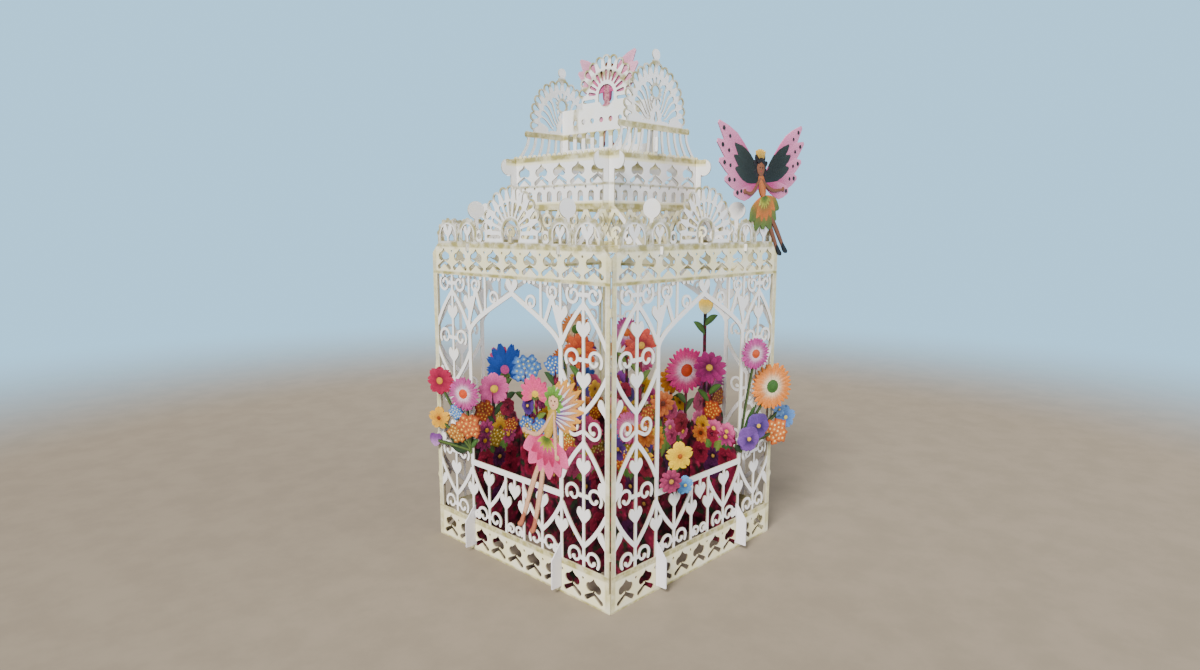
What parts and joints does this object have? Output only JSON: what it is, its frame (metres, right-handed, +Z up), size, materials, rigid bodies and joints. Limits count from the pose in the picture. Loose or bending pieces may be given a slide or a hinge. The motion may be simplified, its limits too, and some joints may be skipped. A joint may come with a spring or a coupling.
{
  "type": "pop up card",
  "caption": "Paper pop-up card that stands as a hollow openwork pavilion: lattice walls with arched windows, a stepped roof with open domes, banks of flowers inside and small winged figures.",
  "frame": {"origin": "centre of the square footprint, on the surface the card stands on", "axes": "+Z up; the left wall of the picture faces -X and the right wall faces -Y"},
  "size_m": [0.13, 0.12, 0.218],
  "materials": {
    "white_card": "matte",
    "garden_card": "matte",
    "flower_card": "matte",
    "figure_card": "matte"
  },
  "bodies": {
    "root": {"front_walls": "white_card", "rear_walls": "white_card", "roof_left": "white_card", "roof_right": "white_card", "roof_rear_right": "white_card", "roof_rear_left": "white_card", "crown_link": "white_card", "garden_left": "garden_card", "garden_right": "garden_card", "garden_rear_right": "garden_card", "garden_rear_left": "garden_card", "spray_left": "flower_card", "spray_right": "flower_card", "spray_rear_right": "flower_card", "spray_rear_left": "flower_card", "posy_right": "flower_card", "window_figure": "figure_card", "corner_figure": "figure_card", "crown_figure": "figure_card"}
  },
  "joints": []
}
